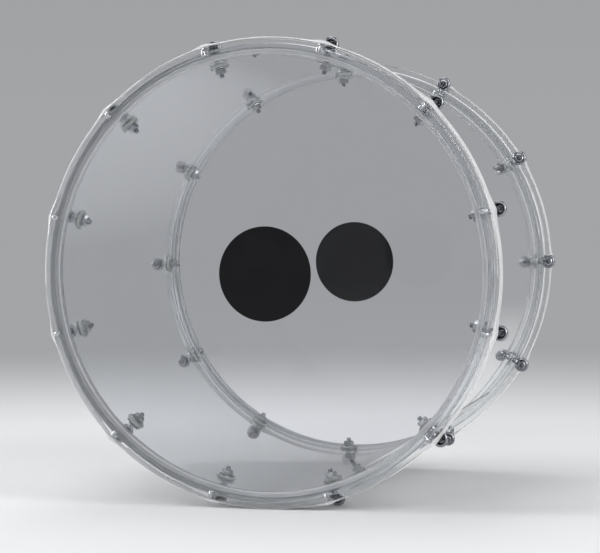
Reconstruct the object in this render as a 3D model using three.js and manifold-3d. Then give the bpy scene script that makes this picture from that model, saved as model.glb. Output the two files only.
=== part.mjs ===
// Clear double-headed Caucasian drum, lying on its side on three of its eyes.
//
// Millimetres, +Z up. In the drum's own frame the axis is Y, the middle of the shell is the
// origin and the front head faces -Y. A clock angle runs from +X towards +Z, as seen from the
// front. One head is built at the front, and the rear head is the same set turned half round
// about X. A station is one place on the rim: its X points out from the drum's axis.

import * as THREE from 'three';
import { mergeVertices } from 'three/addons/utils/BufferGeometryUtils.js';
import Module from 'manifold-3d';

const wasm = await Module();
wasm.setup();

// Driving dimensions

const clearance = 0.3; // between pieces that touch on the real drum
const facets = 72; // sides of the shell, hoops and heads

const shellRadius = 175;
const shellWall = 4;
const shellLength = 305;
const hooksPerHead = 12;

const seamClock = 315; // degrees
const seamWidth = 11;
const seamThickness = 0.6;
const seamEndGap = 3; // to the eyebolt's washer in front
const seamArcSteps = 4;

const hoopDepth = 12; // along the drum's axis
const hoopThickness = 4.2; // across the rim
const hoopFit = 0.4; // slip fit over the shell
const hoopChamfer = 0.6;

const filmThickness = 0.5;
const filmCornerRadius = 1.7; // outside of the bend from playing face to skirt
const filmSkirt = 14.3; // how far the skirt reaches back from the playing face
const skirtStandoff = 3.3; // room for the hooks' legs between hoop and skirt

const dotRadius = 37.1;
const dotThickness = 0.4;
const dotMargin = 4; // from the dot's edge to the free band of the playing face
const dotFacets = 36;

const rodRadius = 1.8; // the hook's bent rod
const rodSides = 6;
const bendRadius = 3; // of the rod's centre line
const bendSteps = 4;
const barReach = 3.4; // how far the hook's tip reaches in past the hoop's outside
const legPastNut = 4.5;

const eyeSetback = 32; // from the shell's end to the eyebolt
const eyeStandoff = 10.2; // from the shell's outside to the middle of the eye
const eyeHoleRadius = 3.1;
const eyeWireRadius = 1.6;
const eyeSteps = 12;
const eyeSides = 5;

const tensionNutFlats = 7;
const tensionNutHeight = 3.2;
const weld = 0.3; // how far joined shapes run into each other

const shankRadius = 2;
const shankFit = 0.4; // in the hole through the wall
const shankSides = 8;
const shankLength = 14; // from the shell's outside to the tip
const outerWasherRadius = 6.5;
const outerWasherThickness = 1.2;
const innerWasherRadius = 7.75;
const innerWasherThickness = 1.6;
const smallWasherRadius = 6.5;
const smallWasherThickness = 1;
const lockNutFlats = 8;
const lockNutHeight = 4;

// Places that follow from the sizes above

const shellInside = shellRadius - shellWall;
const shellEnd = shellLength / 2;
const hoopInside = shellRadius + hoopFit;
const hoopOutside = hoopInside + hoopThickness;
const filmBack = shellEnd + clearance;
const filmFace = filmBack + filmThickness;
const skirtInside = hoopOutside + skirtStandoff;
const skirtOutside = skirtInside + filmThickness;
const skirtEnd = filmFace - filmSkirt;
const eyePlane = shellEnd - eyeSetback;
const eyeCentre = shellRadius + eyeStandoff;
const eyeWireCentre = eyeHoleRadius + eyeWireRadius;
const stationStep = 2 * Math.PI / hooksPerHead;

// The leg leaves the bend just clear of the hoop and passes through the middle of the eye.
const barLevel = filmFace + clearance + rodRadius;
const bendLevel = barLevel - bendRadius;
const legTop = hoopOutside + clearance + rodRadius;
const legSlope = Math.atan2(eyeCentre - legTop, bendLevel - eyePlane);
const bendCentre = legTop - bendRadius * (Math.cos(legSlope) + Math.tan(legSlope) * Math.sin(legSlope));
const bendTurn = Math.PI / 2 - legSlope;
const nutSeat = eyeWireRadius - weld;
const nutEnd = nutSeat + tensionNutHeight;

// Two eyes of one head and one of the other touch the floor, which tips the drum a little.
const restTilt = Math.atan2(eyeCentre * (1 - Math.cos(stationStep / 2)), 2 * eyePlane);

// Materials

const clearAcrylic = { color: 0xdfe5e8, roughness: 0.06, metalness: 0, transparent: true, opacity: 0.35 };
const clearFilm = { color: 0xd8dde2, roughness: 0.12, metalness: 0, transparent: true, opacity: 0.25 };
const frostedStrip = { color: 0xb9bdc0, roughness: 0.5, metalness: 0 };
const blackDot = { color: 0x0b0c0e, roughness: 0.6, metalness: 0 };
const chromedSteel = { color: 0x9a9ea3, roughness: 0.2, metalness: 1 };
const plated = { color: 0x7d8186, roughness: 0.3, metalness: 1 };

// Solids and pieces

// A closed geometry as a solid, without the triangles that shrink to a line on a lathe's axis.
function solidOf(geometry) {
  const bare = new THREE.BufferGeometry();
  bare.setAttribute('position', geometry.getAttribute('position'));
  bare.setIndex(geometry.getIndex());
  const merged = mergeVertices(bare);
  const corners = merged.getIndex().array;
  const kept = [];
  for (let i = 0; i < corners.length; i += 3) {
    const [a, b, c] = corners.slice(i, i + 3);
    if (a !== b && b !== c && c !== a) kept.push(a, b, c);
  }
  const vertProperties = new Float32Array(merged.getAttribute('position').array);
  return new wasm.Manifold(new wasm.Mesh({ numProp: 3, vertProperties, triVerts: new Uint32Array(kept) }));
}

function piece(name, solid, look) {
  const { vertProperties, triVerts } = solid.getMesh();
  const geometry = new THREE.BufferGeometry();
  geometry.setAttribute('position', new THREE.BufferAttribute(vertProperties, 3));
  geometry.setIndex(new THREE.BufferAttribute(triVerts, 1));
  geometry.computeVertexNormals();
  const mesh = new THREE.Mesh(geometry, new THREE.MeshStandardMaterial(look));
  mesh.name = name;
  return mesh;
}

// A solid of revolution about Y from [radius, height] pairs, counter-clockwise.
function turned(profile, sides) {
  const points = profile.map(([radius, height]) => new THREE.Vector2(radius, height));
  return new THREE.LatheGeometry(points, sides);
}

function cylinder(radius, low, high, sides) {
  return turned([[0, low], [radius, low], [radius, high], [0, high]], sides);
}

// The circle through a hexagon's corners, from the distance across its flats.
function hexRadius(flats) {
  return flats / 2 / Math.cos(Math.PI / 6);
}

// Turns a shape made along Y so that it stands out along a station's X.
function pointedOut(geometry) {
  return geometry.rotateZ(-Math.PI / 2);
}

function twoDigits(number) {
  return String(number).padStart(2, '0');
}

// Shell: a straight tube with a hole for each eyebolt

function boltHole(clock, plane) {
  const low = shellInside - shellWall;
  const high = shellRadius + shellWall;
  const hole = pointedOut(cylinder(shankRadius + shankFit, low, high, shankSides));
  hole.rotateY(-clock);
  hole.translate(0, plane, 0);
  return solidOf(hole);
}

function shell() {
  const wall = [
    [shellInside, -shellEnd],
    [shellRadius, -shellEnd],
    [shellRadius, shellEnd],
    [shellInside, shellEnd],
    [shellInside, -shellEnd],
  ];
  let solid = solidOf(turned(wall, facets));
  for (let i = 0; i < hooksPerHead; i += 1) {
    solid = solid.subtract(boltHole(i * stationStep + stationStep / 2, -eyePlane));
    solid = solid.subtract(boltHole(i * stationStep, eyePlane));
  }
  return piece('shell', solid, clearAcrylic);
}

// Seam strip: a thin curved strip bonded along the outside of the shell

function seamStrip() {
  const inside = shellRadius + clearance;
  const halfAngle = seamWidth / 2 / inside;
  const section = new THREE.Shape();
  section.absarc(0, 0, inside + seamThickness, -halfAngle, halfAngle, false);
  section.absarc(0, 0, inside, halfAngle, -halfAngle, true);
  const front = -(eyePlane - outerWasherRadius - seamEndGap);
  const rear = shellEnd - hoopDepth - clearance;
  const options = { depth: rear - front, bevelEnabled: false, curveSegments: seamArcSteps };
  const strip = new THREE.ExtrudeGeometry(section, options);
  strip.rotateX(-Math.PI / 2);
  strip.translate(0, front, 0);
  strip.rotateY(-THREE.MathUtils.degToRad(seamClock));
  const indexed = mergeVertices(strip.deleteAttribute('normal').deleteAttribute('uv'));
  return piece('seam_strip', solidOf(indexed), frostedStrip);
}

// Hoop: a flat clear ring round the shell's end, under the rim of the head

function hoop(side) {
  const ring = [
    [hoopInside + hoopChamfer, -shellEnd],
    [hoopOutside - hoopChamfer, -shellEnd],
    [hoopOutside, -shellEnd + hoopChamfer],
    [hoopOutside, -shellEnd + hoopDepth],
    [hoopInside, -shellEnd + hoopDepth],
    [hoopInside, -shellEnd + hoopChamfer],
    [hoopInside + hoopChamfer, -shellEnd],
  ];
  return piece(`hoop_${side}`, solidOf(turned(ring, facets)), clearAcrylic);
}

// Film head: a flat playing face and a short skirt, slotted where the hooks come through

function hookSlot(clock) {
  const inner = bendCentre + clearance;
  const outer = skirtOutside + filmCornerRadius;
  const halfWidth = rodRadius + clearance;
  const low = -filmFace - filmThickness;
  const high = -skirtEnd + filmThickness;
  const slot = new THREE.BoxGeometry(outer - inner, high - low, 2 * halfWidth);
  slot.translate((inner + outer) / 2, (low + high) / 2, 0);
  slot.rotateY(-clock);
  return solidOf(slot);
}

function film(side, firstClock) {
  const corner = skirtOutside - filmCornerRadius;
  const cup = [
    [0, -filmFace],
    [dotRadius + dotMargin, -filmFace],
    [corner, -filmFace],
    [skirtOutside, -filmFace + filmCornerRadius],
    [skirtOutside, -skirtEnd],
    [skirtInside, -skirtEnd],
    [skirtInside, -filmFace + filmCornerRadius],
    [corner, -filmBack],
    [0, -filmBack],
  ];
  let solid = solidOf(turned(cup, facets));
  for (let i = 0; i < hooksPerHead; i += 1) {
    solid = solid.subtract(hookSlot(firstClock + i * stationStep));
  }
  return piece(`film_head_${side}`, solid, clearFilm);
}

// Dot: a round black patch on the middle of the playing face

function dot(side) {
  const back = -filmFace - clearance;
  return piece(`dot_${side}`, solidOf(cylinder(dotRadius, back - dotThickness, back, dotFacets)), blackDot);
}

// Tension hook: a rod bent once, with its bar over the rim and its leg through the eye

class HookCentreLine extends THREE.Curve {
  // Rings of the extrusion fall at both ends and on the bend only.
  getUtoTmapping(u) {
    return u;
  }

  turnAt(t) {
    const ring = t * (bendSteps + 2) - 1;
    return THREE.MathUtils.clamp(ring / bendSteps, 0, 1) * bendTurn;
  }

  getTangent(t, target = new THREE.Vector3()) {
    const turn = this.turnAt(t);
    return target.set(Math.cos(turn), Math.sin(turn), 0);
  }

  getPoint(t, target = new THREE.Vector3()) {
    const turn = this.turnAt(t);
    const ring = t * (bendSteps + 2);
    const legLength = (bendLevel - eyePlane + nutEnd + legPastNut) / Math.cos(legSlope);
    const before = Math.max(1 - ring, 0) * (bendCentre - hoopOutside + barReach);
    const after = Math.max(ring - bendSteps - 1, 0) * legLength;
    const run = this.getTangent(t).multiplyScalar(after - before);
    target.set(bendCentre + bendRadius * Math.sin(turn), -bendLevel - bendRadius * Math.cos(turn), 0);
    return target.add(run);
  }
}

function hookSolid() {
  const section = new THREE.Shape();
  for (let i = 0; i <= rodSides; i += 1) {
    const angle = 2 * Math.PI * i / rodSides;
    const place = [rodRadius * Math.cos(angle), rodRadius * Math.sin(angle)];
    if (i === 0) section.moveTo(...place);
    else section.lineTo(...place);
  }
  const options = { steps: bendSteps + 2, extrudePath: new HookCentreLine() };
  const rod = new THREE.ExtrudeGeometry(section, options);
  return solidOf(mergeVertices(rod.deleteAttribute('normal').deleteAttribute('uv')));
}

// Eyebolt, joined with its washers and nuts: eye outside, shank through the wall, lock nut inside

// Slides a shape made along Y onto the line of the hook's leg, with its origin in the eye.
function alongLeg(geometry) {
  geometry.rotateZ(-legSlope);
  geometry.translate(eyeCentre, -eyePlane, 0);
  return geometry;
}

function shankAndWashers() {
  const tip = shellRadius - shankLength;
  const outerSeat = shellRadius + clearance;
  const innerSeat = Math.sqrt(shellInside ** 2 - innerWasherRadius ** 2) - clearance;
  const innerBase = innerSeat - innerWasherThickness;
  const stack = [
    [0, tip],
    [shankRadius, tip],
    [shankRadius, innerBase - smallWasherThickness],
    [smallWasherRadius, innerBase - smallWasherThickness],
    [innerWasherRadius, innerBase],
    [innerWasherRadius, innerSeat],
    [shankRadius, innerSeat],
    [shankRadius, outerSeat],
    [outerWasherRadius, outerSeat],
    [outerWasherRadius, outerSeat + outerWasherThickness],
    [shankRadius, outerSeat + outerWasherThickness],
    [shankRadius, eyeCentre - eyeWireCentre],
    [0, eyeCentre - eyeWireCentre],
  ];
  const nutTop = innerBase - smallWasherThickness + weld;
  const lockNut = cylinder(hexRadius(lockNutFlats), nutTop - lockNutHeight - weld, nutTop, 6);
  const bolt = solidOf(pointedOut(turned(stack, shankSides))).add(solidOf(pointedOut(lockNut)));
  return bolt.translate([0, -eyePlane, 0]);
}

function eyeboltSolid() {
  // A quarter of a station's step of turn lets each eye's facets meet the floor at one depth.
  const ring = new THREE.TorusGeometry(eyeWireCentre, eyeWireRadius, eyeSides, eyeSteps);
  ring.rotateZ(stationStep / 4);
  ring.rotateX(Math.PI / 2);
  ring.translate(eyeCentre, -eyePlane, 0);
  const nut = alongLeg(cylinder(hexRadius(tensionNutFlats), nutSeat, nutEnd, 6));
  const bore = alongLeg(cylinder(rodRadius + clearance, -nutEnd, 2 * nutEnd, shankSides));
  return shankAndWashers().add(solidOf(ring)).add(solidOf(nut)).subtract(solidOf(bore));
}

// One head with its hoop, film, dot and stations, at the front of the drum

function head(side, firstClock, clockSign) {
  const group = new THREE.Group();
  group.add(hoop(side), film(side, firstClock), dot(side));
  const hook = hookSolid();
  const eyebolt = eyeboltSolid();
  for (let i = 0; i < hooksPerHead; i += 1) {
    const station = new THREE.Group();
    station.rotation.y = -clockSign * (firstClock + i * stationStep);
    station.add(piece(`hook_${side}_${twoDigits(i + 1)}`, hook, chromedSteel));
    station.add(piece(`eyebolt_${side}_${twoDigits(i + 1)}`, eyebolt, plated));
    group.add(station);
  }
  return group;
}

function drum() {
  const group = new THREE.Group();
  const rear = head('rear', 0, -1);
  rear.rotation.x = Math.PI;
  group.add(shell(), seamStrip(), head('front', stationStep / 2, 1), rear);
  group.rotation.x = restTilt;
  return group;
}

// Stands the drum on the floor with the middle of its box over the origin.
function standing(group) {
  const box = new THREE.Box3().setFromObject(group, true);
  const middle = box.getCenter(new THREE.Vector3());
  group.position.set(-middle.x, -middle.y, -box.min.z);
  return group;
}

const part = new THREE.Group();
part.add(standing(drum()));

export default part;
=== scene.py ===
"""A clear double-headed Caucasian drum on its side, in a plain pale studio.

Metres throughout. The drum frame has the drum's axis along Y, its middle at the origin and the
front head at -Y. A clock angle runs from +X towards +Z, as seen from the front. A station is one
place on the rim, with coordinates out from the axis, towards its head, and along the rim.
"""

import math

import bpy
import numpy as np
from mathutils import Matrix, Vector


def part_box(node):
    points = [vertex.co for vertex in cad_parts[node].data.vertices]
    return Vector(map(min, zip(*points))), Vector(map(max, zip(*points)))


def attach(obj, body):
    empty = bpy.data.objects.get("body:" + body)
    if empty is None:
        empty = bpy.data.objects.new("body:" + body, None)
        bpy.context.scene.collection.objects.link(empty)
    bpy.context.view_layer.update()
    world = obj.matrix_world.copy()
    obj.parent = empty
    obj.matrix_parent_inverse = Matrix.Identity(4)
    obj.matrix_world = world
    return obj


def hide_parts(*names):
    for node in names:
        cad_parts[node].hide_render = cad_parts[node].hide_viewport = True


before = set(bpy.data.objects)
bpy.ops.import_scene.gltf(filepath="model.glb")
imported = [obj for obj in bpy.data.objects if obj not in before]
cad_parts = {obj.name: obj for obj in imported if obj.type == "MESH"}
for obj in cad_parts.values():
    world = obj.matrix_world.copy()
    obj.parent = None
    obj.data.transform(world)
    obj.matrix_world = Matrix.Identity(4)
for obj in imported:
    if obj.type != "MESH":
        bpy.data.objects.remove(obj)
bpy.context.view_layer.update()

MM = 0.001

# Sizes, in metres

SHELL_OUT = 175 * MM
SHELL_IN = 171 * MM
SHELL_END = 152.5 * MM
SHELL_BEVEL = 0.9 * MM
HOOKS = 12
CLEARANCE = 0.3 * MM

HOOP_IN = 175.4 * MM
HOOP_OUT = 179.6 * MM
HOOP_DEPTH = 12 * MM
# How far each corner is rounded: inside and outside away from the head, then outside and inside
HOOP_CORNERS = (0.5 * MM, 0.9 * MM, 1.6 * MM, 1.2 * MM)

FILM = 0.3 * MM
FILM_FLAT = 153.0 * MM
# Radii of rows of points on the film's face, and of the start of its rise to the crown
FACE_INNER_ROW = 20 * MM
FACE_OUTER_ROW = 165 * MM
RISE_ROW = 170 * MM
RISE_START = 172 * MM
CROWN_RADIUS = 178.8 * MM
CROWN_RISE = 0.3 * MM
SKIRT_TOP = 184.3 * MM
SKIRT_END = 139.0 * MM
CORNER = 2.6 * MM
TENT_HALF_ANGLE = math.radians(5)
TENT_RISE = 1.9 * MM
TENT_BLUNTNESS = 0.1
TENT_HOLLOW = 2.1

DOT_RADIUS = 37.1 * MM
DOT_THICKNESS = 0.22 * MM
DOT_EDGE = 0.09 * MM
DOT_GAP = 0.02 * MM

ROD = 1.8 * MM
BEND = 3.0 * MM
BAR_LEVEL = 155.4 * MM
BAR_TIP = 176.2 * MM
THREAD_PITCH = 0.7 * MM
THREAD_DEPTH = 0.28 * MM
THREADED_LEG = 24 * MM
LEG_END = 9 * MM
ROD_DOME = 0.7 * MM
ROD_DOME_INSET = 0.45 * MM

EYE_PLANE = 120.5 * MM
EYE_CENTRE = 185.2 * MM
EYE_WIRE = 1.6 * MM
EYE_WIRE_CENTRE = 4.7 * MM
SHANK = 2.0 * MM
SHANK_TIP = 161 * MM
SHANK_TIP_RADIUS = 1.5 * MM
SHANK_TIP_BEVEL = 0.4 * MM
COLLAR_SWELL = 0.4 * MM
HOLE = 2.3 * MM
HOLE_MARGIN = 2 * MM

# Radius and thickness of each washer, and width across the flats and height of each nut
OUTER_WASHER = (6.5 * MM, 1.2 * MM)
INNER_WASHER = (7.75 * MM, 1.6 * MM)
SMALL_WASHER = (6.5 * MM, 1.0 * MM)
LOCK_NUT = (8 * MM, 4 * MM)
TENSION_NUT = (7 * MM, 3.2 * MM)
INNER_SEAT = 170.52 * MM
OUTER_SEAT = SHELL_OUT + CLEARANCE
WASHER_EDGE = 0.3 * MM
NUT_LEAD = 0.25 * MM
NUT_GRIP = 0.05 * MM
# A nut's cone starts at this share of its flats and rises this much for each step outwards
NUT_FACE = 0.96
NUT_CONE = 0.6

SEAM_CLOCK = math.radians(315)
SEAM_WIDTH = 11 * MM
SEAM_THICKNESS = 0.6 * MM
SEAM_FRONT = -111 * MM
SEAM_REAR = 140.2 * MM

# Faces round each turned shape, steps in a rounded corner, and rows in one turn of a thread
SHELL_SIDES = 288
HOOP_SIDES = 288
FILM_SIDES = 720
DOT_SIDES = 160
NUT_SIDES = 60
WASHER_SIDES = 48
DRILL_SIDES = 24
ROD_SIDES = 16
HOOP_STEPS = 5
THREAD_ROWS = 6

# The share of its shorter side that a rounded corner may take, and the least angle of an edge
LARGEST_ARC = 1 / 2.2
SHARP_EDGE = math.radians(35)

# The hook's leg runs from just outside the hoop through the middle of the eye
BEND_LEVEL = BAR_LEVEL - BEND
LEG_TOP = HOOP_OUT + CLEARANCE + ROD
LEG_SLOPE = math.atan2(EYE_CENTRE - LEG_TOP, BEND_LEVEL - EYE_PLANE)
BEND_CENTRE = LEG_TOP - BEND * (math.cos(LEG_SLOPE) + math.tan(LEG_SLOPE) * math.sin(LEG_SLOPE))
STEP = 2 * math.pi / HOOKS

# Where the drum lies: its two dots give the line of its axis
dot_middles = [sum(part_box(node), start=Vector()) / 2 for node in ("dot_front", "dot_rear")]
MIDDLE = np.array((dot_middles[0] + dot_middles[1]) / 2)
AXIS = np.array((dot_middles[1] - dot_middles[0]).normalized())
TILT = math.atan2(AXIS[2], AXIS[1])

# The front skirt stands a little wider at its hem, the rear one a little closer
HEADS = {
    "front": {"toward": -1, "first": STEP / 2, "hem": 184.5 * MM},
    "rear": {"toward": 1, "first": 0.0, "hem": 184.0 * MM},
}


# Placing

def as_it_lies(points):
    """Turns drum-frame points about X by the drum's tilt and moves them to its middle."""
    c, s = math.cos(TILT), math.sin(TILT)
    turn = np.array([[1, 0, 0], [0, c, -s], [0, s, c]])
    return np.asarray(points) @ turn.T + MIDDLE


def at_station(points, side, clock):
    """Carries (out, towards the head, along the rim) to the drum frame without mirroring it."""
    toward = HEADS[side]["toward"]
    out = np.array([math.cos(clock), 0, math.sin(clock)])
    along = toward * np.array([-math.sin(clock), 0, math.cos(clock)])
    head = np.array([0, toward, 0])
    return np.asarray(points) @ np.array([out, head, along])


def at_head(points, side):
    """Carries a shape built for the rear head to either head, by half a turn about X."""
    turn = np.array([1, HEADS[side]["toward"], HEADS[side]["toward"]])
    return np.asarray(points) * turn


# Surfaces

def wrapped_quads(rows, columns, closed_rows=False):
    """Quads of a grid whose columns go round, and whose rows may also close on themselves."""
    r = np.arange(rows if closed_rows else rows - 1)[:, None]
    c = np.arange(columns)[None, :]
    low, high = r * columns, ((r + 1) % rows) * columns
    left, right = c, (c + 1) % columns
    return np.stack([low + left, low + right, high + right, high + left], -1).reshape(-1, 4)


def turned(profile, sides, radius=None):
    """Revolves (radius, height) points about the first axis, counter-clockwise ones facing out.

    x is the height, y and z are the radius times cosine and sine of the angle. radius, if given,
    changes the radius of each row and angle. A profile that starts on the axis gets a pole.
    """
    profile = np.asarray(profile, float)
    angle = np.arange(sides) * 2 * math.pi / sides
    reach = np.repeat(profile[:, :1], sides, 1) if radius is None else radius(profile, angle)
    height = np.repeat(profile[:, 1:], sides, 1)
    grid = np.stack([height, reach * np.cos(angle), reach * np.sin(angle)], -1)
    poles = profile[0, 0] == 0
    if not poles:
        return grid.reshape(-1, 3), wrapped_quads(len(profile), sides, closed_rows=True).tolist()
    inner = grid[1:-1]
    points = np.concatenate([inner.reshape(-1, 3), grid[0, :1], grid[-1, :1]])
    faces = wrapped_quads(len(inner), sides)
    left = np.arange(sides)
    right = (left + 1) % sides
    first, last = len(points) - 2, len(points) - 1
    top = (len(inner) - 1) * sides
    start_cap = np.stack([np.full(sides, first), right, left], -1)
    end_cap = np.stack([np.full(sides, last), top + left, top + right], -1)
    return points, faces.tolist() + start_cap.tolist() + end_cap.tolist()


def softened(corners, radius, steps=3):
    """Rounds each corner of a closed outline with a parabola, drawn in a few steps.

    It starts and ends one radius from the corner, or less than half of the shorter side from it.
    """
    corners = np.asarray(corners, float)
    before = np.roll(corners, 1, 0) - corners
    after = np.roll(corners, -1, 0) - corners
    shorter = np.minimum(np.linalg.norm(before, axis=1), np.linalg.norm(after, axis=1))
    most = shorter * LARGEST_ARC
    size = np.minimum(np.broadcast_to(radius, len(corners)), most)[:, None, None]
    before = before / np.linalg.norm(before, axis=1)[:, None]
    after = after / np.linalg.norm(after, axis=1)[:, None]
    t = np.linspace(0, 1, steps + 1)[None, :, None]
    start = corners[:, None] + before[:, None] * size
    end = corners[:, None] + after[:, None] * size
    curve = (1 - t) ** 2 * start + 2 * t * (1 - t) * corners[:, None] + t ** 2 * end
    return curve.reshape(-1, 2)


def disc_outline(radius, low, high, edge, steps=3):
    """Outline of a plain disc from axis to axis, with its two rims rounded."""
    rim = softened([[0, low], [radius, low], [radius, high], [0, high]], [0, edge, edge, 0], steps)
    rim = rim[steps + 1:-(steps + 1)]
    return np.concatenate([[[0, low]], rim, [[0, high]]])


def ring_outline(inner, outer, low, high, edge, steps=3):
    """Outline of a washer or hoop, closed on itself, with every corner rounded."""
    return softened([[inner, low], [outer, low], [outer, high], [inner, high]], edge, steps)


def joined(parts):
    """Joins (points, faces) pairs into one, in order."""
    points, faces, start = [], [], 0
    for part_points, part_faces in parts:
        points.append(part_points)
        faces += [[corner + start for corner in face] for face in part_faces]
        start += len(part_points)
    return np.concatenate(points), faces


def piece(name, parts, nodes, body="drum"):
    """Makes one object from (points, faces, material) parts, riding on a body for its nodes."""
    points, faces = joined([(p, f) for p, f, _ in parts])
    mesh = bpy.data.meshes.new(name)
    mesh.from_pydata(as_it_lies(points).tolist(), [], faces)
    materials = list(dict.fromkeys(m for _, _, m in parts))
    for material in materials:
        mesh.materials.append(material)
    index = np.concatenate([np.full(len(f), materials.index(m)) for _, f, m in parts])
    mesh.polygons.foreach_set("material_index", index.astype(np.int32))
    mesh.polygons.foreach_set("use_smooth", np.ones(len(faces), bool))
    mesh.set_sharp_from_angle(angle=SHARP_EDGE)
    mesh.update()
    thing = bpy.data.objects.new(name, mesh)
    bpy.context.collection.objects.link(thing)
    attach(thing, body)
    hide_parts(*nodes)
    return thing


# Shared finish effects

def effect(name, inputs, outputs):
    """An empty node group with float inputs and the named outputs, and its two end nodes."""
    tree = bpy.data.node_groups.new(name, "ShaderNodeTree")
    for label, value in inputs.items():
        socket = tree.interface.new_socket(label, in_out="INPUT", socket_type="NodeSocketFloat")
        socket.default_value = value
    for label in outputs:
        tree.interface.new_socket(label, in_out="OUTPUT", socket_type="NodeSocketFloat")
    return tree, tree.nodes.new("NodeGroupInput"), tree.nodes.new("NodeGroupOutput")


def object_place(tree):
    """The Object coordinates of a node tree."""
    return tree.nodes.new("ShaderNodeTexCoord").outputs["Object"]


def noise(tree, source, scale, detail, scale_input=None, stretch=None):
    """A noise texture on the given coordinates, stretched along an axis if asked."""
    node = tree.nodes.new("ShaderNodeTexNoise")
    node.inputs["Scale"].default_value = scale
    node.inputs["Detail"].default_value = detail
    if stretch:
        mapping = tree.nodes.new("ShaderNodeMapping")
        mapping.inputs["Scale"].default_value = stretch
        tree.links.new(source, mapping.inputs["Vector"])
        source = mapping.outputs["Vector"]
    tree.links.new(source, node.inputs["Vector"])
    if scale_input:
        tree.links.new(scale_input, node.inputs["Scale"])
    return node.outputs["Fac"]


def ranged(tree, source, low, high, out_low=0.0, out_high=1.0):
    """Maps a value from one range to another; either end may be a socket."""
    node = tree.nodes.new("ShaderNodeMapRange")
    ends = {"From Min": low, "From Max": high, "To Min": out_low, "To Max": out_high}
    for label, value in ends.items():
        if isinstance(value, bpy.types.NodeSocket):
            tree.links.new(value, node.inputs[label])
        else:
            node.inputs[label].default_value = value
    tree.links.new(source, node.inputs["Value"])
    return node.outputs["Result"]


def combined(tree, operation, first, second):
    """One maths step on two sockets or numbers."""
    node = tree.nodes.new("ShaderNodeMath")
    node.operation = operation
    for slot, value in enumerate((first, second)):
        if isinstance(value, bpy.types.NodeSocket):
            tree.links.new(value, node.inputs[slot])
        else:
            node.inputs[slot].default_value = value
    return node.outputs[0]


def handling_marks():
    """Roughness of a handled clear surface: the larger of soft smudges and fainter scratches."""
    labels = {"Clean": 0.01, "Smudged": 0.08, "Patch Size": 14.0}
    tree, entry, leave = effect("handling marks", labels, ("Roughness",))
    place = object_place(tree)
    patches = noise(tree, place, scale=14, detail=4, scale_input=entry.outputs["Patch Size"])
    smudge = ranged(tree, patches, 0.5, 0.75)
    lines = noise(tree, place, scale=60, detail=2, stretch=(9, 1, 0.6))
    scratch = ranged(tree, lines, 0.7, 0.74)
    total = combined(tree, "MAXIMUM", smudge, combined(tree, "MULTIPLY", scratch, 0.6))
    rough = ranged(tree, total, 0.0, 1.0, entry.outputs["Clean"], entry.outputs["Smudged"])
    tree.links.new(rough, leave.inputs["Roughness"])
    return tree


def plating():
    """A plated surface: roughness that varies in cloudy patches, and a fine grain for bump."""
    labels = {"Bright": 0.12, "Dull": 0.3, "Grain": 900.0}
    tree, entry, leave = effect("plating", labels, ("Roughness", "Grain Height"))
    place = object_place(tree)
    cloud = ranged(tree, noise(tree, place, scale=220, detail=5), 0.35, 0.7)
    rough = ranged(tree, cloud, 0.0, 1.0, entry.outputs["Bright"], entry.outputs["Dull"])
    grain = noise(tree, place, scale=900, detail=3, scale_input=entry.outputs["Grain"])
    tree.links.new(rough, leave.inputs["Roughness"])
    tree.links.new(grain, leave.inputs["Grain Height"])
    return tree


def turned_lines():
    """Height of fine rings about the drum's axis: a noise of the radius and the place along it."""
    tree, entry, leave = effect("turned lines", {"Fineness": 1000.0}, ("Height",))
    middle = tree.nodes.new("ShaderNodeMapping")
    middle.vector_type = "TEXTURE"
    middle.inputs["Location"].default_value = MIDDLE
    middle.inputs["Rotation"].default_value = (TILT, 0, 0)
    tree.links.new(object_place(tree), middle.inputs["Vector"])
    split = tree.nodes.new("ShaderNodeSeparateXYZ")
    tree.links.new(middle.outputs["Vector"], split.inputs["Vector"])
    squares = [combined(tree, "POWER", split.outputs[axis], 2.0) for axis in ("X", "Z")]
    radius = combined(tree, "SQRT", combined(tree, "ADD", *squares), 0.0)
    place = tree.nodes.new("ShaderNodeCombineXYZ")
    tree.links.new(radius, place.inputs["X"])
    tree.links.new(split.outputs["Y"], place.inputs["Y"])
    rings = place.outputs["Vector"]
    lines = noise(tree, rings, scale=1000, detail=2, scale_input=entry.outputs["Fineness"])
    tree.links.new(lines, leave.inputs["Height"])
    return tree


def placed(tree, group, **values):
    """Places an effect in a material with its own values."""
    node = tree.nodes.new("ShaderNodeGroup")
    node.node_tree = group
    for label, value in values.items():
        node.inputs[label.replace("_", " ")].default_value = value
    return node.outputs


def plain_material(name, color, **sockets):
    """A material with one Principled shader and constant values on its sockets."""
    material = bpy.data.materials.new(name)
    material.use_nodes = True
    tree = material.node_tree
    shader = tree.nodes["Principled BSDF"]
    shader.inputs["Base Color"].default_value = (*color, 1)
    for label, value in sockets.items():
        shader.inputs[label.replace("_", " ")].default_value = value
    return material, tree, shader


def bumped(tree, shader, height, strength, distance):
    """Feeds a height to the shader's normal through a Bump node."""
    node = tree.nodes.new("ShaderNodeBump")
    node.inputs["Strength"].default_value = strength
    node.inputs["Distance"].default_value = distance
    tree.links.new(height, node.inputs["Height"])
    tree.links.new(node.outputs["Normal"], shader.inputs["Normal"])


MARKS = handling_marks()
PLATING = plating()
LINES = turned_lines()

# Where most of a noise's values lie
NOISE_LOW, NOISE_HIGH = 0.3, 0.7

ACRYLIC_IOR = 1.49
NYLON_IOR = 1.53
LINE_FINENESS = 450


# Materials

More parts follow.
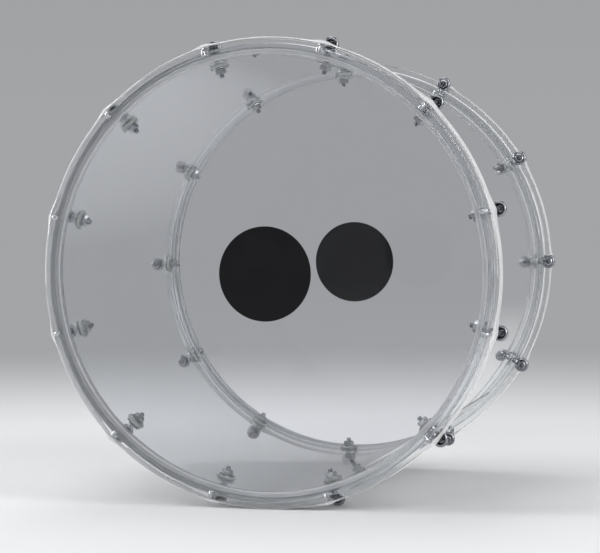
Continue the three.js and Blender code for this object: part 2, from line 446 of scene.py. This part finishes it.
def clear_material(name, color, clean, smudged, patch, ior, waviness):
    """Clear plastic with handling marks and a slight waviness, longest along the drum."""
    material, tree, shader = plain_material(name, color, Transmission_Weight=1.0, IOR=ior)
    marks = placed(tree, MARKS, Clean=clean, Smudged=smudged, Patch_Size=patch)
    tree.links.new(marks["Roughness"], shader.inputs["Roughness"])
    waves = noise(tree, object_place(tree), scale=9, detail=1, stretch=(1, 0.25, 1))
    bumped(tree, shader, waves, strength=waviness, distance=2 * MM)
    return material


def sawn_acrylic():
    """The shell's cut end: frosted, with faint saw marks round it."""
    material, tree, shader = plain_material(
        "sawn acrylic", (0.9, 0.915, 0.93), Transmission_Weight=0.6, IOR=ACRYLIC_IOR)
    marks = noise(tree, object_place(tree), scale=250, detail=2)
    rough = ranged(tree, marks, NOISE_LOW, NOISE_HIGH, 0.3, 0.38)
    tree.links.new(rough, shader.inputs["Roughness"])
    lines = placed(tree, LINES, Fineness=LINE_FINENESS)
    bumped(tree, shader, lines["Height"], strength=0.01, distance=0.2 * MM)
    return material


def lined_plastic(name, color, rough, clearness, ior, depth, sheen=0.0):
    """Clear or milky plastic with handling marks and fine even lines that run round the drum; its
    milkiness is a painted highlight.
    """
    material, tree, shader = plain_material(
        name, color, Transmission_Weight=clearness, IOR=ior, Sheen_Weight=sheen, Sheen_Roughness=0.25)
    marks = placed(tree, MARKS, Clean=rough, Smudged=rough + 0.04, Patch_Size=60)
    tree.links.new(marks["Roughness"], shader.inputs["Roughness"])
    lines = placed(tree, LINES, Fineness=LINE_FINENESS)
    bumped(tree, shader, lines["Height"], strength=depth, distance=0.3 * MM)
    return material


def painted_highlight_edge():
    """Small bevels on the shell and the hoops: white as a painted highlight, with faint chatter along
    them.
    """
    material, tree, shader = plain_material(
        "painted highlight edge", (0.95, 0.95, 0.955), Transmission_Weight=0.2, IOR=ACRYLIC_IOR)
    marks = noise(tree, object_place(tree), scale=250, detail=2)
    rough = ranged(tree, marks, NOISE_LOW, NOISE_HIGH, 0.34, 0.42)
    tree.links.new(rough, shader.inputs["Roughness"])
    bumped(tree, shader, marks, strength=0.03, distance=0.2 * MM)
    return material


def frosted_strip():
    """The bonded strip: milky, even and matt."""
    material, tree, shader = plain_material(
        "frosted strip", (0.8, 0.82, 0.83), Transmission_Weight=0.75, IOR=ACRYLIC_IOR)
    place = object_place(tree)
    cloud = noise(tree, place, scale=60, detail=4)
    rough = ranged(tree, cloud, NOISE_LOW, NOISE_HIGH, 0.42, 0.58)
    tree.links.new(rough, shader.inputs["Roughness"])
    grain = noise(tree, place, scale=1500, detail=2)
    bumped(tree, shader, grain, strength=0.2, distance=0.1 * MM)
    return material


def metal(name, color, bright, dull, grain, strength):
    """Plated steel with cloudy roughness and a fine grain."""
    material, tree, shader = plain_material(name, color, Metallic=1.0)
    surface = placed(tree, PLATING, Bright=bright, Dull=dull, Grain=grain)
    tree.links.new(surface["Roughness"], shader.inputs["Roughness"])
    bumped(tree, shader, surface["Grain Height"], strength, distance=0.1 * MM)
    return material


def pale_nylon():
    """The wide washer inside the wall: pale and slightly see-through."""
    material, tree, shader = plain_material(
        "pale nylon", (0.8, 0.81, 0.8), Transmission_Weight=0.35, IOR=NYLON_IOR)
    cloud = noise(tree, object_place(tree), scale=300, detail=3)
    rough = ranged(tree, cloud, NOISE_LOW, NOISE_HIGH, 0.3, 0.45)
    tree.links.new(rough, shader.inputs["Roughness"])
    return material


def black_patch():
    """The dot: satin black with a fine mottle and a few rubbed spots."""
    material, tree, shader = plain_material(
        "black patch", (0.005, 0.005, 0.006), Specular_IOR_Level=0.14)
    place = object_place(tree)
    mottle = noise(tree, place, scale=260, detail=5)
    rubbed = ranged(tree, noise(tree, place, scale=35, detail=3), 0.5, 0.72)
    rough = ranged(tree, rubbed, 0, 1, 0.42, 0.62)
    tree.links.new(rough, shader.inputs["Roughness"])
    bumped(tree, shader, mottle, strength=0.25, distance=0.2 * MM)
    return material


ACRYLIC = clear_material(
    "clear acrylic", (0.93, 0.945, 0.955),
    clean=0.002, smudged=0.015, patch=9, ior=ACRYLIC_IOR, waviness=0.03)
HOOP_ACRYLIC = lined_plastic(
    "hoop acrylic", (0.88, 0.9, 0.915), rough=0.01, clearness=1.0, ior=ACRYLIC_IOR, depth=0.015)
FILM_CLEAR = clear_material(
    "head film", (0.94, 0.945, 0.96), clean=0.002, smudged=0.012, patch=12, ior=1.25, waviness=0.01)
# The skirt is milky white as a painted highlight, so that it shows as a white line.
FILM_SKIRT_PAINTED_HIGHLIGHT = lined_plastic(
    "skirt film with painted highlight", (0.95, 0.955, 0.96), rough=0.04, clearness=0.52, ior=1.08, depth=0.015, sheen=1.0)
FILM_BEND = lined_plastic(
    "bent film", (0.95, 0.955, 0.96), rough=0.035, clearness=1.0, ior=1.5, depth=0.004)
SAWN = sawn_acrylic()
# White bevels that stand in for highlight lines: a painted highlight.
PAINTED_HIGHLIGHT_EDGE = painted_highlight_edge()
STRIP = frosted_strip()
ROD_CHROME = metal(
    "chromed rod", (0.5, 0.51, 0.53), bright=0.06, dull=0.16, grain=1200, strength=0.05)
# The eyes are dark chrome, darkened further as a painted reflection of dark surroundings.
EYE_CHROME_WITH_PAINTED_REFLECTION = metal(
    "dark chrome with painted reflection", (0.3, 0.31, 0.33), bright=0.08, dull=0.2, grain=900, strength=0.1)
# The threaded leg and its end are darkened as painted shade and a painted dark reflection.
THREAD_PAINTED_SHADE = metal(
    "thread with painted shade", (0.1, 0.102, 0.108), bright=0.22, dull=0.4, grain=900, strength=0.15)
NUT_ZINC = metal(
    "zinc plate", (0.5, 0.51, 0.52), bright=0.1, dull=0.28, grain=700, strength=0.2)
NYLON = pale_nylon()
BLACK = black_patch()


# Shell: a tube with clear walls, sawn ends and a drilled hole for each eyebolt

def along_axis(points):
    """Turns a shape revolved about the first axis so that it stands along the drum's Y."""
    return np.asarray(points)[:, [1, 0, 2]] * [1, 1, -1]


def stations(side):
    """Number and clock angle of each station of a head."""
    for i in range(HOOKS):
        yield f"{i + 1:02d}", HEADS[side]["first"] + i * STEP


def carved(thing, cutters):
    """Cuts the cutters' shapes out of an object and keeps the result as its mesh."""
    points, faces = joined(cutters)
    mesh = bpy.data.meshes.new("cutter")
    mesh.from_pydata(as_it_lies(points).tolist(), [], faces)
    cutter = bpy.data.objects.new("cutter", mesh)
    bpy.context.collection.objects.link(cutter)
    cut = thing.modifiers.new("cut", "BOOLEAN")
    cut.operation = "DIFFERENCE"
    cut.solver = "MANIFOLD"
    cut.object = cutter
    bpy.context.view_layer.update()
    evaluated = thing.evaluated_get(bpy.context.evaluated_depsgraph_get())
    result = bpy.data.meshes.new_from_object(evaluated)
    thing.modifiers.clear()
    thing.data = result
    bpy.data.objects.remove(cutter)
    result.set_sharp_from_angle(angle=SHARP_EDGE)


def finished(thing, *choices):
    """Gives chosen faces of an object other materials, each choice a material and a mask."""
    index = np.zeros(len(thing.data.polygons), np.int32)
    for number, (material, chosen) in enumerate(choices, 1):
        thing.data.materials.append(material)
        index[chosen] = number
    thing.data.polygons.foreach_set("material_index", index)


def make_shell():
    """Tube outline of eight corners: two straight walls and two flat ends with small bevels.

    The eight bands of faces between them are, in order, bevel, outer wall, bevel, rear end,
    bevel, inner wall, bevel and front end.
    """
    bevel_start = SHELL_END - SHELL_BEVEL
    outside = [[SHELL_OUT - SHELL_BEVEL, -SHELL_END], [SHELL_OUT, -bevel_start],
               [SHELL_OUT, bevel_start], [SHELL_OUT - SHELL_BEVEL, SHELL_END]]
    inside = [[SHELL_IN + SHELL_BEVEL, SHELL_END], [SHELL_IN, bevel_start],
              [SHELL_IN, -bevel_start], [SHELL_IN + SHELL_BEVEL, -SHELL_END]]
    points, faces = turned(outside + inside, SHELL_SIDES)
    bands = np.arange(len(faces)) // SHELL_SIDES
    ends, bevels = np.isin(bands, (3, 7)), np.isin(bands, (0, 2, 4, 6))
    shell = piece("shell_clear", [(along_axis(points), faces, ACRYLIC)], ["shell"])
    # The bevels are painted white as highlight lines.
    finished(shell, (SAWN, ends), (PAINTED_HIGHLIGHT_EDGE, bevels))
    drill_end = 0.1 * MM
    outline = disc_outline(HOLE, SHELL_IN - HOLE_MARGIN, SHELL_OUT + HOLE_MARGIN, drill_end)
    drill = turned(outline, DRILL_SIDES)
    drills = []
    for side in HEADS:
        for _, clock in stations(side):
            points = drill[0] + [0, EYE_PLANE, 0]
            drills.append((at_station(points, side, clock), drill[1]))
    carved(shell, drills)


def make_seam_strip():
    """A thin strip bent round the shell: two arcs a thickness apart, carried along the axis."""
    inner = SHELL_OUT + CLEARANCE / 3
    half = SEAM_WIDTH / 2 / inner
    across = 13
    angle = SEAM_CLOCK + np.linspace(-half, half, across)
    arc = np.stack([np.cos(angle), np.zeros_like(angle), np.sin(angle)], -1)
    loop = np.concatenate([arc * (inner + SEAM_THICKNESS), arc[::-1] * inner])
    rows = [SEAM_FRONT, *np.linspace(SEAM_FRONT + MM, SEAM_REAR - MM, 8), SEAM_REAR]
    grid = np.concatenate([loop + [0, y, 0] for y in rows])
    faces = wrapped_quads(len(rows), len(loop)).tolist()
    last = (len(rows) - 1) * len(loop)
    for i in range(across - 1):
        a, b, c, d = i, i + 1, 2 * across - 2 - i, 2 * across - 1 - i
        faces.append([a, b, c, d])
        faces.append([last + d, last + c, last + b, last + a])
    strip = piece("seam_strip_frosted", [(grid, faces, STRIP)], ["seam_strip"])


# Heads: hoop, film and dot

def make_hoop(side):
    """A flat ring with four rounded corners, its crown just under the film.

    Its corner on the outside, away from the head, is painted white as a highlight line.
    """
    low, high = SHELL_END - HOOP_DEPTH, SHELL_END + CLEARANCE / 2
    outline = ring_outline(HOOP_IN, HOOP_OUT, low, high, HOOP_CORNERS, HOOP_STEPS)
    points, faces = turned(outline, HOOP_SIDES)
    corner = np.arange(len(faces)) // HOOP_SIDES // (HOOP_STEPS + 1)
    points = at_head(along_axis(points), side)
    hoop = piece(f"hoop_{side}_clear", [(points, faces, HOOP_ACRYLIC)], [f"hoop_{side}"])
    # The outer corner away from the head is painted white as a highlight line.
    finished(hoop, (PAINTED_HIGHLIGHT_EDGE, corner == 1))


def film_outline(hem):
    """Outer line of the film, from the middle of the head over the crown to the skirt's end.

    The face is flat and rises to the crown over the hoop by a smooth step, 3 s squared less
    2 s cubed. It rounds down into the skirt with a quarter circle, and the skirt is straight.
    """
    flat = np.concatenate([[0], np.linspace(FACE_INNER_ROW, FACE_OUTER_ROW, 9)])
    rise = np.linspace(RISE_ROW, CROWN_RADIUS, 10)
    step = np.clip((rise - RISE_START) / (CROWN_RADIUS - RISE_START), 0, 1)
    risen = FILM_FLAT + CROWN_RISE * step ** 2 * (3 - 2 * step)
    level = np.concatenate([np.full(len(flat), FILM_FLAT), risen])
    face = np.stack([np.concatenate([flat, rise]), level], -1)

    turn = np.linspace(0, math.pi / 2, 9)
    bend_level = FILM_FLAT + CROWN_RISE - CORNER
    bend_radius = SKIRT_TOP - CORNER
    bend = np.stack([bend_radius + CORNER * np.sin(turn), bend_level + CORNER * np.cos(turn)], -1)

    first_row = 0.12
    down = np.linspace(first_row, 1, 6)
    level = bend_level + (SKIRT_END - bend_level) * down
    skirt = np.stack([SKIRT_TOP + (hem - SKIRT_TOP) * down, level], -1)
    return np.concatenate([face, bend, skirt])


def tent(angle, first):
    """Height from 0 to 1 of the film's peaks over the hooks' legs: a blunted cone to a power.

    The power gives each peak hollow flanks.
    """
    away = np.abs((angle - first + STEP / 2) % STEP - STEP / 2) / TENT_HALF_ANGLE
    peak = (1 - np.sqrt(away ** 2 + TENT_BLUNTNESS ** 2)) / (1 - TENT_BLUNTNESS)
    return np.clip(peak, 0, 1) ** TENT_HOLLOW


def make_film(side):
    """The film's outer line carried round and pushed out over each leg, with an inner skin."""
    first = HEADS[side]["first"]
    outer = film_outline(HEADS[side]["hem"])
    slope = np.gradient(outer, axis=0)
    normal = np.stack([-slope[:, 1], slope[:, 0]], -1) / np.linalg.norm(slope, axis=1)[:, None]
    normal[0] = (0, 1)
    inner = outer - normal * FILM
    inner[0, 0] = 0
    outline = np.concatenate([inner, outer[::-1]])

    def reach(profile, angle):
        """Each row's radius, and over the legs as much more as clears them, growing outwards."""
        radius, level = profile[:, :1], profile[:, 1:]
        share = np.clip((radius - HOOP_OUT) / (SKIRT_TOP - FILM - HOOP_OUT), 0, 1)
        leg = LEG_TOP + math.tan(LEG_SLOPE) * (BEND_LEVEL - level) + ROD + CLEARANCE + FILM
        lift = np.maximum(leg - np.maximum(radius, SKIRT_TOP), TENT_RISE)
        return radius + share * lift * tent(angle[None, :], first)

    points, faces = turned(outline, FILM_SIDES, reach)
    radius = np.hypot(points[:, 1], points[:, 2])[[face[0] for face in faces]]
    bent = radius > SKIRT_TOP - CORNER
    drawn = radius > SKIRT_TOP - CORNER / 6
    points = at_head(along_axis(points), side)
    film = piece(f"film_{side}_clear", [(points, faces, FILM_CLEAR)], [f"film_head_{side}"])
    # The skirt is painted milky white as a highlight.
    finished(film, (FILM_BEND, bent), (FILM_SKIRT_PAINTED_HIGHLIGHT, drawn))
    punch = hook_shape(ROD + CLEARANCE, threaded=False)
    carved(film, [(at_station(punch[0], side, clock), punch[1]) for _, clock in stations(side)])


def make_dot(side):
    """A thin round patch with a soft rim, lying on the film."""
    low = FILM_FLAT + DOT_GAP
    outline = disc_outline(DOT_RADIUS, low, low + DOT_THICKNESS, DOT_EDGE)
    points, faces = turned(outline, DOT_SIDES)
    points = at_head(along_axis(points), side)
    dot = piece(f"dot_{side}_black", [(points, faces, BLACK)], [f"dot_{side}"])


# Hook: bar over the rim, bend, and a leg whose end is threaded

def thread_dip(length, angle, start, end):
    """Depth of a V thread at each length and angle, fading in and out over one turn."""
    phase = (length / THREAD_PITCH - angle / (2 * math.pi)) % 1
    groove = np.abs(2 * phase - 1)
    fade_in = np.clip((length - start) / THREAD_PITCH, 0, 1)
    fade_out = np.clip((end - length) / THREAD_PITCH, 0, 1)
    return THREAD_DEPTH * groove * fade_in * fade_out


def hook_shape(rod=ROD, threaded=True):
    """Circles across the rod's centre line, which runs straight, round the bend and straight.

    The ends are rounded by a quarter circle, and the last stretch of the leg is threaded. The
    third result marks the faces of that stretch.
    """
    bar = BEND_CENTRE - BAR_TIP
    turn = math.pi / 2 - LEG_SLOPE
    bend = BEND * turn
    leg = (BEND_LEVEL - EYE_PLANE + LEG_END) / math.cos(LEG_SLOPE)
    total = bar + bend + leg
    first_ring = 0.15
    ends = ROD_DOME * (1 - np.cos(np.linspace(first_ring, math.pi / 2, 5)))
    thread_start = total - THREADED_LEG
    rows = int(THREADED_LEG / THREAD_PITCH * THREAD_ROWS)
    run = np.unique(np.concatenate([
        ends, np.linspace(ROD_DOME, bar, 5)[1:-1], bar + np.linspace(0, bend, 15),
        np.linspace(bar + bend, thread_start, 6)[1:-1],
        np.linspace(thread_start, total - ROD_DOME, rows), total - ends[::-1],
    ]))
    around = np.clip((run - bar) / BEND, 0, turn)
    tangent = np.stack([np.cos(around), -np.sin(around), np.zeros_like(run)], -1)
    across = np.stack([np.sin(around), np.cos(around), np.zeros_like(run)], -1)
    corner = np.array([BEND_CENTRE, BEND_LEVEL, 0]) + BEND * across
    straight = np.minimum(run - bar, 0) + np.maximum(run - bar - bend, 0)
    centre = corner + tangent * straight[:, None]
    from_end = np.clip(np.minimum(run, total - run), 0, ROD_DOME)
    round_off = np.sqrt(1 - (1 - from_end / ROD_DOME) ** 2)
    angle = np.arange(ROD_SIDES) * 2 * math.pi / ROD_SIDES
    dip = thread_dip(run[:, None], angle[None, :], thread_start, total - ROD_DOME) * threaded
    radius = (rod - ROD_DOME_INSET * (1 - round_off))[:, None] - dip
    sideways = np.array([0, 0, 1.0])
    ring = across[:, None] * np.cos(angle)[None, :, None] + sideways * np.sin(angle)[None, :, None]
    grid = centre[:, None] + ring * radius[..., None]
    points = np.concatenate([grid.reshape(-1, 3), centre[:1], centre[-1:]])
    left = np.arange(ROD_SIDES)
    right = (left + 1) % ROD_SIDES
    start = np.full(ROD_SIDES, len(run) * ROD_SIDES)
    end = start + 1
    top = (len(run) - 1) * ROD_SIDES
    body = wrapped_quads(len(run), ROD_SIDES).tolist()
    start_cap = np.stack([start, right, left], -1).tolist()
    end_cap = np.stack([end, top + left, top + right], -1).tolist()
    faces = body + start_cap + end_cap
    first_cut = np.searchsorted(run, thread_start) * ROD_SIDES
    number = np.arange(len(faces))
    cut = (number >= first_cut) & (number < len(body)) | (number >= len(body) + ROD_SIDES)
    return points, faces, cut


# Eyebolt: eye and shank, washers on both sides of the wall, lock nut, and the hook's nut

def hexagon_reach(flats):
    """Radius of a hexagon cut by each row's own circle, which gives a nut its chamfered corners."""
    def reach(profile, angle):
        edge = flats / 2 / np.cos((angle + math.pi / 6) % (math.pi / 3) - math.pi / 6)
        return np.minimum(profile[:, :1], edge[None, :])
    return reach


def nut(flats, low, high, bore):
    """A hexagonal nut about the first axis: a bored prism whose corners are cut by a cone.

    The cone starts a little inside the flats and rises in proportion to the radius.
    """
    corner = flats / math.sqrt(3)
    widening = np.linspace(flats / 2 * NUT_FACE, corner, 5)
    rise = (widening - widening[0]) * NUT_CONE
    outline = np.concatenate([
        [[bore + NUT_LEAD, low]],
        np.stack([widening, low + rise], -1),
        np.stack([widening, high - rise], -1)[::-1],
        [[bore + NUT_LEAD, high], [bore, high - NUT_LEAD], [bore, low + NUT_LEAD]],
    ])
    return turned(outline, NUT_SIDES, hexagon_reach(flats))


def shank_shape():
    """A threaded rod from its bevelled tip to a collar under the eye, swollen by half a sine."""
    collar = OUTER_SEAT + OUTER_WASHER[1]
    top = EYE_CENTRE - EYE_WIRE_CENTRE
    rows = int((collar - SHANK_TIP) / THREAD_PITCH * THREAD_ROWS)
    threaded = np.linspace(SHANK_TIP + SHANK_TIP_BEVEL, collar, rows)
    height = np.concatenate([threaded, np.linspace(collar, top, 7)[1:]])
    up_collar = np.clip((height - collar) / (top - collar), 0, 1)
    width = SHANK + COLLAR_SWELL * np.sin(math.pi * up_collar)
    profile = np.stack([width, height], -1)
    tip = [[0, SHANK_TIP], [SHANK_TIP_RADIUS, SHANK_TIP]]
    profile = np.concatenate([tip, profile, [[0, top]]])

    def reach(outline, angle):
        """Each row's radius less the thread, which leaves out the tip and the poles."""
        radius, level = outline[:, :1], outline[:, 1:]
        dip = thread_dip(level, angle[None, :], SHANK_TIP, collar)
        return radius - dip * (radius > SHANK_TIP_RADIUS)

    return turned(profile, ROD_SIDES, reach)


def eye_shape():
    """A torus whose axis runs along the drum: a circle of wire carried round the eye."""
    wire_sides, eye_sides = 16, 48
    small = np.arange(wire_sides) * 2 * math.pi / wire_sides
    big = np.arange(eye_sides) * 2 * math.pi / eye_sides
    radius = EYE_WIRE_CENTRE + EYE_WIRE * np.cos(small)[:, None]
    out = EYE_CENTRE + radius * np.cos(big)
    level = np.broadcast_to(EYE_WIRE * np.sin(small)[:, None], out.shape)
    grid = np.stack([out, level, radius * np.sin(big)], -1)
    faces = wrapped_quads(wire_sides, eye_sides, closed_rows=True)[:, ::-1]
    return grid.reshape(-1, 3), faces.tolist()


def along_leg(points):
    """Turns a shape about the first axis onto the leg's line, pointing back from the eye."""
    c, s = math.cos(LEG_SLOPE), math.sin(LEG_SLOPE)
    points = np.asarray(points)
    out = points[:, 0] * s + points[:, 1] * c
    level = -points[:, 0] * c + points[:, 1] * s
    return np.stack([EYE_CENTRE + out, level, points[:, 2]], -1)


def eyebolt_parts():
    """Every part of one eyebolt as (points, faces, material), about its own plane."""
    inner_low = INNER_SEAT - INNER_WASHER[1]
    small_low = inner_low - SMALL_WASHER[1]
    washers = (
        (OUTER_WASHER[0], OUTER_SEAT, OUTER_SEAT + OUTER_WASHER[1], NUT_ZINC),
        (INNER_WASHER[0], inner_low, INNER_SEAT, NYLON),
        (SMALL_WASHER[0], small_low, inner_low, NUT_ZINC),
    )
    # The eye, shank and tension nut are dark chrome, darkened further as a painted reflection.
    parts = [(*eye_shape(), EYE_CHROME_WITH_PAINTED_REFLECTION), (*shank_shape(), EYE_CHROME_WITH_PAINTED_REFLECTION)]
    for radius, low, high, finish in washers:
        outline = ring_outline(SHANK, radius, low, high, WASHER_EDGE)
        parts.append((*turned(outline, WASHER_SIDES), finish))
    lock_low = small_low - LOCK_NUT[1]
    parts.append((*nut(LOCK_NUT[0], lock_low, small_low, SHANK - NUT_GRIP), NUT_ZINC))
    points, faces = nut(TENSION_NUT[0], EYE_WIRE, EYE_WIRE + TENSION_NUT[1], ROD + NUT_GRIP)
    parts.append((along_leg(points), faces, EYE_CHROME_WITH_PAINTED_REFLECTION))
    return parts


def make_stations(side):
    """One eyebolt and one hook at each station of a head."""
    eyebolt = eyebolt_parts()
    points, faces, cut = hook_shape()
    for number, clock in stations(side):
        at_plane = [(at_station(p + [0, EYE_PLANE, 0], side, clock), f, m) for p, f, m in eyebolt]
        bolt = piece(f"eyebolt_{side}_{number}_set", at_plane, [f"eyebolt_{side}_{number}"])
        name = f"hook_{side}_{number}"
        at_clock = at_station(points, side, clock)
        rod = piece(f"{name}_rod", [(at_clock, faces, ROD_CHROME)], [name], body=name)
        # The threaded leg and its end get painted shade.
        finished(rod, (THREAD_PAINTED_SHADE, cut))


make_shell()
make_seam_strip()
for head_side in HEADS:
    make_hoop(head_side)
    make_film(head_side)
    make_dot(head_side)
    make_stations(head_side)


# Studio

PALE = (0.82, 0.825, 0.83)
HORIZON = (0.37, 0.374, 0.384)
OVERHEAD = (0.24, 0.244, 0.254)

# The floor's rim, and the distances between which it fades from lit to the horizon's grey
FLOOR_RADIUS = 40
FLOOR_SIDES = 96
LIT_FLOOR = 0.7
FAR_FLOOR = 2.6

# Each lamp's name, place, width, height and power in watts, and the point that all of them face
AIM = (0, 0, 0.2)
LAMPS = (
    ("key", (1.9, -0.9, 1.3), 1.2, 2.0, 25),
    ("top", (-0.4, 0.5, 2.4), 2.0, 1.6, 22),
    ("side", (-2.2, -0.6, 1.0), 1.1, 2.2, 37),
    ("front", (0.1, -2.6, 2.0), 1.8, 1.1, 15),
    ("low", (1.5, -2.2, 0.35), 0.7, 0.8, 11),
)


def studio_floor():
    """Plain pale floor, lit near the drum and as bright as the horizon far away."""
    material, tree, shader = plain_material(
        "studio floor", PALE, Roughness=0.6, Specular_IOR_Level=0.0)
    length = tree.nodes.new("ShaderNodeVectorMath")
    length.operation = "LENGTH"
    tree.links.new(object_place(tree), length.inputs[0])
    far = ranged(tree, length.outputs["Value"], LIT_FLOOR, FAR_FLOOR)
    glow = tree.nodes.new("ShaderNodeEmission")
    glow.inputs["Color"].default_value = (*HORIZON, 1)
    mix = tree.nodes.new("ShaderNodeMixShader")
    tree.links.new(far, mix.inputs["Fac"])
    tree.links.new(shader.outputs["BSDF"], mix.inputs[1])
    tree.links.new(glow.outputs["Emission"], mix.inputs[2])
    tree.links.new(mix.outputs["Shader"], tree.nodes["Material Output"].inputs["Surface"])
    mesh = bpy.data.meshes.new("studio_floor")
    angle = np.arange(FLOOR_SIDES) * 2 * math.pi / FLOOR_SIDES
    rim = FLOOR_RADIUS * np.stack([np.cos(angle), np.sin(angle), np.zeros_like(angle)], -1)
    mesh.from_pydata(rim.tolist(), [], [list(range(FLOOR_SIDES))])
    mesh.materials.append(material)
    floor = bpy.data.objects.new("studio_floor", mesh)
    bpy.context.collection.objects.link(floor)


def sky():
    """Pale at the horizon and greyer overhead, so that clear edges and metal show something."""
    world = bpy.data.worlds.new("studio")
    bpy.context.scene.world = world
    world.use_nodes = True
    tree = world.node_tree
    background = tree.nodes["Background"]
    split = tree.nodes.new("ShaderNodeSeparateXYZ")
    tree.links.new(tree.nodes.new("ShaderNodeTexCoord").outputs["Generated"], split.inputs[0])
    height = ranged(tree, split.outputs["Z"], 0.08, 0.7)
    mix = tree.nodes.new("ShaderNodeMix")
    mix.data_type = "RGBA"
    first, second = [socket for socket in mix.inputs if socket.type == "RGBA"]
    first.default_value = (*HORIZON, 1)
    second.default_value = (*OVERHEAD, 1)
    tree.links.new(height, mix.inputs["Factor"])
    blend = next(socket for socket in mix.outputs if socket.type == "RGBA")
    tree.links.new(blend, background.inputs["Color"])


def softbox(name, place, width, height, power):
    """A rectangular lamp at a place, facing the drum."""
    light = bpy.data.lights.new(name, "AREA")
    light.shape = "RECTANGLE"
    light.size, light.size_y = width, height
    light.energy = power
    lamp = bpy.data.objects.new(name, light)
    bpy.context.collection.objects.link(lamp)
    lamp.location = place
    direction = Vector(AIM) - Vector(place)
    lamp.rotation_mode = "QUATERNION"
    lamp.rotation_quaternion = direction.to_track_quat("-Z", "Y")


def camera():
    """The photograph's view: a long lens 1.6 m in front, to the right, at mid height."""
    place = (0.4057, -1.5779, 0.1978)
    yaw, pitch, roll = math.radians(-14.832), math.radians(-0.609), math.radians(-0.49)
    focal_pixels, frame_width = 1903.3, 600
    level = math.cos(pitch)
    ahead = np.array([math.sin(yaw) * level, math.cos(yaw) * level, math.sin(pitch)])
    right = np.array([math.cos(yaw), -math.sin(yaw), 0])
    up = np.cross(right, ahead)
    level_right = math.cos(roll) * right + math.sin(roll) * up
    level_up = -math.sin(roll) * right + math.cos(roll) * up
    data = bpy.data.cameras.new("camera")
    data.sensor_width = 36
    data.lens = data.sensor_width * focal_pixels / frame_width
    data.clip_start = 0.05
    view = bpy.data.objects.new("camera", data)
    bpy.context.collection.objects.link(view)
    turn = Matrix((level_right, level_up, -ahead)).transposed().to_4x4()
    view.matrix_world = Matrix.Translation(place) @ turn
    bpy.context.scene.camera = view


studio_floor()
sky()
for lamp in LAMPS:
    softbox(*lamp)
camera()

scene = bpy.context.scene
scene.view_settings.view_transform = "Standard"
scene.cycles.max_bounces = 32
scene.cycles.transmission_bounces = 32
scene.cycles.glossy_bounces = 12
scene.cycles.transparent_max_bounces = 16
